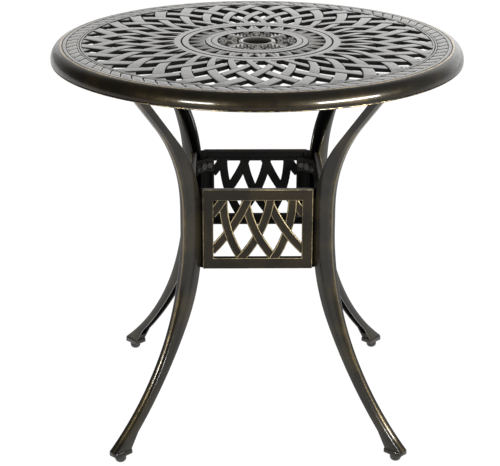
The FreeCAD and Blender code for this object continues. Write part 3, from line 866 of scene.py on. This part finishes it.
def medallion_height(radius, direction):
    """Height of the relief and how rubbed it is, both 0..1."""
    quarter = (direction + 45.0) % 90.0 - 45.0
    from_leaf = (direction % 90.0) - 45.0
    along = (radius - leaf_start) / leaf_length
    taper = np.clip(np.sin(np.pi * np.clip(along * 0.93 + 0.07, 0, 1)), 0, 1) ** 0.7
    lobes = 1 + 0.3 * np.cos(2 * np.pi * along * leaf_lobes)
    edge = np.abs(from_leaf) / np.maximum(leaf_half * taper * lobes, 0.5)
    leaf = np.clip(1.15 - edge ** 2, 0, 1) * (along > 0)
    ribs = 0.5 + 0.5 * np.cos(2 * np.pi * (along * leaf_lobes - np.abs(from_leaf) / 9.0))
    spine = np.exp(-(from_leaf / 1.8) ** 2)
    leaf_height = np.minimum(leaf * 1.6, 1.0) * (0.25 + 0.6 * ribs * (1 - spine) + 0.7 * spine)
    bead = round_spots(radius, quarter, beads, lambda d, size: np.clip(1 - (d / size) ** 2, 0, 1))
    curl = round_spots(radius, quarter, curls,
                       lambda d, size: np.exp(-((d - size) / curl_line) ** 2))
    height = np.maximum(np.maximum(leaf_height, 0.9 * curl), 0.85 * bead ** 0.6)
    height = smooth((height - 0.1) / 0.6)
    rub = np.clip(height * 1.3 - 0.3, 0, 1) * (0.25 + 0.5 * np.maximum(spine, ribs))
    return height, rub


radii = np.linspace(medallion_inner, medallion_outer, 52)
directions = np.linspace(0, 360, 432, endpoint=False)
grid_radius, grid_direction = np.meshgrid(radii, directions, indexing="xy")
height, rub = medallion_height(grid_radius, grid_direction)
edge_fall = np.clip((medallion_outer - grid_radius) / 1.5, 0, 1)
top = table_height - medallion_ground + medallion_rise * height * edge_fall
upper = polar(grid_radius, grid_direction, top)
lower = polar(radii[None, ::-1], directions[:, None], plate_bottom)
plain = np.zeros(grid_radius.shape)
medallion = Casting()
# The relief's low ground and its plain underside get painted shade
medallion.loft(np.concatenate([upper, lower], axis=1), np.concatenate([rub, plain], axis=1),
               np.concatenate([np.clip(0.9 - 3.0 * height, 0, 1), plain + 0.3], axis=1),
               closed=True)
print("medallion grid", grid_radius.shape, "highest", round(float(top.max()), 2))

# %% Drill the small holes
eyelets, eyelet_circle, eyelet_radius, eyelet_sides = 8, 58.0, 3.2, 20
drill_reach, drilled_sharp = 2.0, 35.0


def drill(target, cutters):
    """Cuts the cutters from the target and keeps the result as its plain mesh."""
    cut = target.modifiers.new("drill", "BOOLEAN")
    cut.operation = "DIFFERENCE"
    cut.solver = "EXACT"
    cut.object = cutters
    bpy.context.view_layer.update()
    evaluated = target.evaluated_get(bpy.context.evaluated_depsgraph_get())
    mesh = bpy.data.meshes.new_from_object(evaluated)
    target.modifiers.clear()
    target.data = mesh
    mesh.set_sharp_from_angle(angle=math.radians(drilled_sharp))
    bpy.data.objects.remove(cutters)
    return len(mesh.polygons)


drills = Casting()
around = np.arange(eyelet_sides) * 360.0 / eyelet_sides
for place in range(eyelets):
    spot = polar(eyelet_circle, 360.0 * (place + 0.5) / eyelets, 0.0)
    drills.loft([spot + polar(eyelet_radius, around, z)
                 for z in (plate_bottom - drill_reach, table_height + drill_reach)])
drill_bits = add_object("drill_bits", drills.mesh("drill_bits"))
leaf_medallion = piece("top_medallion", medallion, top_bronze_painted_sheen, "table_top", 50.0)
print("drilled faces", drill(leaf_medallion, drill_bits))

# %% Hub round the umbrella hole
hub = Casting()
# The hole's inner wall gets full painted shade, near black
hub_profile = [(26.4, 705.3, 0, 1), (26.4, 724.0, 0, 1), (26.4, 733.6, 0, 0.45),
               (26.4, 734.8, 0.3, 0.2), (26.9, 735.6, 0.7, 0.0), (28.2, 736.3, 0.8, 0.0),
               (30.0, 736.5, 0.5, 0.0), (32.2, 736.2, 0.6, 0.0), (33.6, 735.3, 0.7, 0.0),
               (34.4, 734.0, 0.3, 0.3), (35.5, 733.2, 0.0, 1.0), (35.5, 705.8, 0.0, 0.2),
               (35.0, 705.0, 0.1, 0.0), (26.9, 705.0, 0.1, 0.0)]
lathe(hub, hub_profile, 120)
piece("top_hub", hub, top_bronze_painted_sheen, "table_top")

# %% Bosses under the top
corner_angles = {"front_left": 225.0, "front_right": 315.0, "rear_left": 135.0, "rear_right": 45.0}
head_radius, head_top, head_bottom = 330.0, 721.0, 713.0
head_plate_length, head_plate_depth = 66.0, 34.0


def eased_block(centre, size, ease, corner=4.0, steps=4):
    """Outlines of a block with rounded upright corners and eased top and bottom edges."""
    half_x, half_y, half_z = (side / 2 for side in size)
    outlines = []
    for inset, z in ((ease, -half_z), (0, ease - half_z), (0, half_z - ease), (ease, half_z)):
        ring = []
        for quadrant, (sx, sy) in enumerate(((1, 1), (-1, 1), (-1, -1), (1, -1))):
            for step in range(steps + 1):
                angle = math.pi / 2 * (quadrant + step / steps)
                reach = corner - inset
                ring.append((sx * (half_x - corner) + reach * math.cos(angle),
                             sy * (half_y - corner) + reach * math.sin(angle), z))
        outlines.append(ring)
    return np.array(outlines) + centre


bosses = Casting()
for angle in corner_angles.values():
    block = eased_block((head_radius, 0, (head_top + plate_bottom) / 2),
                        (head_plate_depth, head_plate_length, plate_bottom - head_top), 0.5)
    bosses.loft(turned(block, angle), [[0.3], [0.1], [0.0], [0.0]], 0.1)
piece("top_bosses", bosses, leg_bronze, "table_top")

# %% [markdown]
# ## The legs
#
# Each leg is a cast channel, open on its inner side, that bows in to the waist and sweeps out to
# the foot. Its outer face is two shallow facets that meet at a raised bead, and the bead catches
# the bronze. The leg's outline is arcs and straight lines, so the lesson walks along those arcs,
# reads the outer and inner edge at each height and lofts level slices of the channel.

# %% Walk along the leg's arcs
panel_width, panel_gap = 202.7, 1.9
leg_width, leg_wall, leg_web = 25.0, 4.5, 7.0
waist_inner = (panel_width / 2 + panel_gap) * math.sqrt(2) + leg_width / 2
waist_outer = waist_inner + 32.0
foot_top, foot_inner, foot_outer = 24.0, 343.0, 379.0
head_inner, head_outer = 317.0, 331.0


def arc_points(start, heading, end, steps=400):
    """Points on the arc that leaves start along heading and reaches end, and its last heading."""
    dx, dz = end[0] - start[0], end[1] - start[1]
    chord = math.atan2(dz, dx)
    bend = (2 * (chord - heading) + math.pi) % (2 * math.pi) - math.pi
    radius = math.hypot(dx, dz) / (2 * math.sin(bend / 2))
    centre = (start[0] - radius * math.sin(heading), start[1] + radius * math.cos(heading))
    points = []
    for step in range(steps + 1):
        angle = heading + bend * step / steps
        points.append((centre[0] + radius * math.sin(angle), centre[1] - radius * math.cos(angle)))
    return points, heading + bend


def upper_run(waist, head, straight):
    """From the waist up: an arc and then a straight to the head."""
    lean = 2 * math.atan((head[0] - waist[0]) / (head[1] - waist[1] + straight))
    knot = (head[0] - straight * math.sin(lean), head[1] - straight * math.cos(lean))
    return arc_points(waist, math.pi / 2, knot)[0] + [head]


def lower_run(points):
    """From the foot up: the arcs that leave the waist straight down, walked backwards."""
    run, heading = [points[0]], -math.pi / 2
    for start, end in zip(points, points[1:]):
        arc, heading = arc_points(start, heading, end)
        run += arc[1:]
    return run[::-1]


outer_run = lower_run([(waist_outer, 412.0), (foot_outer, foot_top)])
outer_run += upper_run((waist_outer, 445.0), (head_outer, head_bottom), 121.5)
inner_run = [(foot_inner + 0.5, foot_top)]
inner_run += lower_run([(waist_inner, 386.8), (waist_inner + 38.2, 232.0),
                        (foot_inner - 17.0, 52.0)])
inner_run += upper_run((waist_inner, 427.2), (head_inner, head_bottom), 163.0)
outer_run, inner_run = np.array(outer_run), np.array(inner_run)
print("leg outline points", len(outer_run), len(inner_run))

# %% Loft a leg
brace_levels, block_half = (361.3, 458.4), 10.0  # the channel is filled behind each brace
seat_inner = 158.52
foot_block_top, head_block = 38.0, 8.0
step_gap = 0.3  # above and below each place where the channel opens or closes
ridge_height = 1.8
foot_centre, foot_half_x, foot_half_y, foot_cut = 361.0, 18.0, 13.0, 3.0


def leg_levels():
    """Heights of the slices: close together at the foot, and on both sides of every step."""
    levels = [*np.linspace(foot_top - 1.0, 37, 8), *np.linspace(40, 60, 11),
              *np.linspace(65, head_bottom - 9, 112), head_bottom]
    steps = [foot_block_top, head_bottom - head_block]
    steps += [level + side * block_half for level in brace_levels for side in (-1, 1)]
    levels += [edge + side * step_gap for edge in steps for side in (-1, 1)]
    return sorted(set(round(float(level), 2) for level in levels))


def leg_slice(z):
    """One level outline of the channel, with rub and painted shade, which is full inside the open
    channel.
    """
    outer = float(np.interp(z, outer_run[:, 1], outer_run[:, 0]))
    inner = float(np.interp(z, inner_run[:, 1], inner_run[:, 0]))
    face = 9.8 + 2.2 * smooth((z - 190) / 160) - 1.7 * smooth((z - 440) / 90)
    mouth = leg_width / 2 + 4.5 * smooth((z - 445) / 120)
    fade = min(1.0, max(0.0, (z - 30.0) / 14.0), max(0.0, (head_bottom - 4.0 - z) / 20.0))
    filled = z < foot_block_top or z > head_bottom - head_block
    if any(abs(z - level) < block_half for level in brace_levels):
        inner, mouth, filled = min(inner, seat_inner), leg_width / 2, True
    floor_x = inner + 0.8 if filled else outer - leg_web
    wall = mouth - leg_wall
    narrow = (mouth - face) * (floor_x - inner) / (outer - inner)
    ridge = ridge_height * fade
    # Half of the outline as (distance out, half width, rub, painted shade), from the bead inwards
    half = [(outer + ridge + 0.8 * fade, 0.0, 0.85, 0), (outer + ridge + 0.72 * fade, 0.9, 0.8, 0),
            (outer + ridge + 0.2 * fade, 1.6, 0.6, 0), (outer + ridge * 0.9, 2.1, 0.5, 0.05),
            (outer + ridge * 0.7, face * 0.36, 0.5, 0), (outer + ridge * 0.45, face * 0.7, 0.2, 0),
            (outer + ridge * 0.22, face - 1.1, 0.12, 0), (outer - 0.25, face - 0.35, 0.12, 0),
            (outer - 1.1, face, 0.15, 0),
            (inner + 1.0, mouth, 0.15, 0), (inner + 0.3, mouth - 0.3, 0.5, 0),
            (inner, mouth - 1.0, 0.45, 0), (inner, wall + 0.7, 0.3, 0),
            (inner + 0.6, wall, 0.1, 0.4)]
    if filled:
        half += [(inner + 0.64, wall, 0, 0.6), (inner + 0.8, wall - 0.5, 0, 0.6)]
    else:
        half += [(inner + 2.5, wall - narrow * 2.5 / (floor_x - inner), 0, 1),
                 (floor_x, wall - narrow, 0, 1)]
    outline = half + [(x, -y, rub, deep) for x, y, rub, deep in half[:0:-1]]
    return [(x, y, z, rub, deep) for x, y, rub, deep in outline]


def foot_outlines():
    """The foot plate: a block with its two outer corners cut off and its edges eased."""
    outlines = []
    for inset, z in ((0.9, 14.0), (0.0, 14.9), (0.0, 21.6), (0.5, 23.2), (1.6, 24.2)):
        hx, hy = foot_half_x - inset, foot_half_y - inset
        plan = [(-hx, -hy), (hx - foot_cut, -hy), (hx, -hy + foot_cut), (hx, hy - foot_cut),
                (hx - foot_cut, hy), (-hx, hy)]
        outlines.append([(foot_centre + x, y, z) for x, y in plan])
    return outlines


slices = np.array([leg_slice(z) for z in leg_levels()])
head = eased_block((head_radius, 0, (head_top + head_bottom) / 2),
                   (head_plate_depth, head_plate_length, head_top - head_bottom), 0.6)
for corner, angle in corner_angles.items():
    leg = Casting()
    leg.loft(turned(slices[..., :3], angle), slices[..., 3], slices[..., 4])
    leg.loft(turned(foot_outlines(), angle), [[0.1], [0.15], [0.2], [0.2], [0.1]])
    leg.loft(turned(head, angle), [[0.4], [0.3], [0.1], [0.0]])
    piece("leg_casting_" + corner, leg, leg_bronze, "leg_" + corner, 52.0)

# %% [markdown]
# ## The woven side panels
#
# Each panel is a shallow tray: a border whose back is hollowed out, with eight curved bars woven
# across the opening, and at each end a flange that bears on the leg. The border is a picture
# frame, so its section is carried round four mitred corners. The bars are arcs through three
# points. Those that lean one way pass under at the top and bottom and over in the middle, and the
# others do the opposite.

# %% Panel frame
leg_plane = waist_inner * math.sqrt(2)
panel_reach = (waist_inner + leg_width / 2) / math.sqrt(2) + 6.1
panel_depth, panel_height, panel_bottom = 11.0, 155.1, 332.3
panel_top = panel_bottom + panel_height
panel_half, panel_middle = panel_width / 2, panel_bottom + panel_height / 2
side_border, end_border = 19.5, 21.0
open_half, open_half_height = panel_half - side_border, panel_height / 2 - end_border
side_angles = {"front": 270.0, "rear": 90.0, "left": 180.0, "right": 0.0}
# Section of the border: from its inner (i) or outer (o) edge, distance, depth, rub, painted shade,
# which is full on the hollow back
border_section = (("i", 0.0, 11.0, 0, 1), ("i", 0.0, 1.6, 0, 1), ("i", 0.0, 0.9, 0.3, 0.3),
                  ("i", 0.35, 0.3, 0.95, 0), ("i", 0.8, 0.05, 0.7, 0), ("i", 1.5, 0.0, 0.1, 0),
                  ("o", 2.0, 0.0, 0.1, 0), ("o", 1.0, 0.1, 0.5, 0), ("o", 0.3, 0.4, 0.85, 0),
                  ("o", 0.0, 1.2, 0.7, 0), ("o", 0.0, 3.0, 0.3, 0), ("o", 0.0, 10.4, 0.15, 0),
                  ("o", 0.5, 11.0, 0.2, 0.4), ("o", 4.2, 11.0, 0.1, 0.7), ("o", 4.5, 10.5, 0, 1),
                  ("o", 4.8, 6.0, 0, 1), ("i", 5.3, 6.0, 0, 1), ("i", 5.0, 10.5, 0, 1),
                  ("i", 4.6, 11.0, 0.1, 0.7))


def frame_corner(across, upward):
    """The border's section at one mitred corner; across and upward are -1 or 1."""
    points = []
    for edge, distance, depth, _, _ in border_section:
        if edge == "i":
            y, z = open_half + distance, open_half_height + distance
        else:
            y, z = panel_half - distance, panel_height / 2 - distance
        points.append((panel_reach - depth, across * y, panel_middle + upward * z))
    return np.array(points)


def add_frame(casting, angle):
    corners = [frame_corner(*corner) for corner in ((1, -1), (1, 1), (-1, 1), (-1, -1))]
    rings = [corner * (1 - share) + following * share
             for corner, following in zip(corners, corners[1:] + corners[:1])
             for share in (0.0, 0.03, 0.5, 0.97)]
    casting.loft(turned(rings, angle), [row[3] for row in border_section],
                 [row[4] for row in border_section], closed=True)


print("panel opening", round(2 * open_half, 1), "by", round(2 * open_half_height, 1))

# %% Panel bars
bar_width, bar_thickness = 16.2, 6.0
bar_sink, bar_dip = 0.35, 1.6
bar_wall_drop, bar_under_gap = 0.8, 0.15
# Where each bar crosses the opening's top edge, middle and bottom edge, in half widths
bar_shares = ((-0.777, -0.68, -0.375), (-0.28, -0.075, 0.37), (0.235, 0.61, 1.225),
              (0.795, 1.37, 2.58))
bar_across = np.array([-1.0, -0.93, -0.84, -0.7, 0.0, 0.7, 0.84, 0.93, 1.0])
bar_drop = np.array([1.1, 0.45, 0.08, 0.25, 0.3, 0.25, 0.08, 0.45, 1.1])
bar_rub = np.array([0.3, 0.9, 0.8, 0.12, 0.08, 0.12, 0.8, 0.9, 0.3])


def circle_through(a, b, c):
    """Centre of the circle through three points of the plane."""
    ax, ay = b - a
    bx, by = c - a
    d = 2 * (ax * by - ay * bx)
    ux = (by * (ax * ax + ay * ay) - ay * (bx * bx + by * by)) / d
    uy = (ax * (bx * bx + by * by) - bx * (ax * ax + ay * ay)) / d
    return a + (ux, uy)


def add_bar(casting, shares, mirror, angle):
    heights = (open_half_height, 0.0, -open_half_height)  # from the panel's middle
    line = [np.array([mirror * share * open_half, z]) for share, z in zip(shares, heights)]
    centre = circle_through(*line)
    radius = np.linalg.norm(line[0] - centre)
    first, last = [math.atan2(*(point - centre)[::-1]) for point in (line[0], line[2])]
    sweep = (last - first + math.pi) % (2 * math.pi) - math.pi
    back = panel_reach - bar_thickness + (mirror > 0) * bar_under_gap
    slices = []
    for share in np.linspace(-0.06, 1.06, 66):
        turn = first + sweep * share
        ray = np.array([math.cos(turn), math.sin(turn)])
        y, z = centre + ray * radius
        if abs(y) > open_half + 4.0 or abs(z) >= open_half_height + 4.5:
            continue
        high = 1 - min(1.0, max(0.0, (abs(z) - 20.0) / 14.0))
        depth = bar_dip * (1 - high if mirror > 0 else high)
        across = centre + ray * (radius + bar_across[:, None] * bar_width / 2)
        across[:, 1] += panel_middle
        front = panel_reach - bar_sink - depth - bar_drop
        wall_x = (front[-1] - bar_wall_drop, back, back, front[0] - bar_wall_drop)
        slices.append((np.column_stack([front, across]), np.column_stack([wall_x, across[walls]]),
                       bar_rub, np.zeros(len(bar_rub))))
    rings, rubs, shade_and_patina_rows = stacked(slices)
    casting.loft(turned(rings, angle), rubs, shade_and_patina_rows)


def add_flanges_and_pads(casting, angle):
    """End flanges that bear on the legs, and the pads that the braces are screwed to."""
    near, far = panel_reach - panel_depth, panel_reach - panel_depth + 4.0
    for side in (-1, 1):
        plan = [(near, panel_half - 1), (far, panel_half - 1), (far, leg_plane - far),
                (near, leg_plane - near)]
        rings = [[(x, side * y, z) for x, y in plan] for z in (panel_bottom, panel_top)]
        # The flanges and pads lie behind the panel and get painted shade
        casting.loft(turned(rings, angle), 0.1, 0.9)
        for level in brace_levels:
            pad = eased_block((panel_reach - 8.0, side * (panel_half - side_border / 2), level),
                              (6.0, side_border - 2.0, 32.0), 0.1, corner=0.8, steps=2)
            casting.loft(turned(pad, angle), 0.0, 0.9)


for side, angle in side_angles.items():
    panel = Casting()
    add_frame(panel, angle)
    for shares in bar_shares:
        for mirror in (-1, 1):
            add_bar(panel, shares, mirror, angle)
    add_flanges_and_pads(panel, angle)
    piece("panel_casting_" + side, panel, panel_bronze, "panel_" + side, 40.0)

# %% [markdown]
# ## Steel and plastic
#
# The braces are painted steel, the fasteners dull zinc and the pads black nylon. They are small
# and plain, so their CAD solids stay and only take on a finish.

# %% Fittings' materials


def plain_finish(name, colour, metallic, roughness, scale, variation, bump):
    """A finish with a fine noise in its colour, roughness and surface."""
    material, nodes, links = new_material(name)
    tree = material.node_tree
    place = nodes.new("ShaderNodeTexCoord").outputs["Object"]
    grain = noise_node(tree, place, scale, 3.0)
    cloud = noise_node(tree, place, scale / 12, 2.0)
    shades = []
    for change in (1 - variation, 1 + variation):
        shade = nodes.new("ShaderNodeRGB").outputs[0]
        shade.default_value = (*[channel * change for channel in colour], 1)
        shades.append(shade)
    skin = nodes.new("ShaderNodeBsdfPrincipled")
    skin.inputs["Metallic"].default_value = metallic
    links.new(blend_colour(tree, cloud, *shades), skin.inputs["Base Color"])
    rough = math_node(tree, "ADD", math_node(tree, "MULTIPLY", grain, 0.2), roughness - 0.1)
    links.new(rough, skin.inputs["Roughness"])
    raise_surface(nodes, links, skin, grain, bump, fitting_relief)
    return material


brace_paint = plain_finish("brace_paint", (0.02, 0.018, 0.016), 0.3, 0.45, 900, 0.2, 0.4)
zinc = plain_finish("dull_zinc", (0.16, 0.155, 0.145), 0.8, 0.45, 1400, 0.12, 0.3)
nylon = plain_finish("black_nylon", (0.035, 0.033, 0.03), 0.0, 0.5, 1200, 0.2, 0.5)
fittings = ((brace_paint, "corner_brace"), (nylon, "glide_pad"),
            (zinc, ("head_", "brace_", "panel_screws", "glide_stud")))
for name, node in frame["nodes"].items():
    for finish, names in fittings:
        if name.startswith(names):
            node.data.materials.clear()
            node.data.materials.append(finish)
print("finished CAD nodes:", sum(1 for n in frame["nodes"].values() if not n.hide_render))

# %% [markdown]
# ## Keep the strip lamps off the top
#
# The three strip lamps are there for the long highlights on the rim, the panels and the ridges of
# the legs. Seen from behind they would also glare on the flat top and hide the weave. A
# photographer holds a black card in the way. Here light linking does that: each strip reaches only
# the castings listed for it.

# %% Link each strip to its castings
for lamp, castings in ((strip_right, ("top_rim", "panel_casting")),
                       (strip_left, ("top_rim", "panel_casting", "leg_casting")),
                       (strip_legs, ("leg_casting",))):
    reach = bpy.data.collections.new(lamp.name + "_reach")
    for thing in bpy.context.scene.objects:
        if thing.name.startswith(castings):
            reach.objects.link(thing)
    lamp.light_linking.receiver_collection = reach
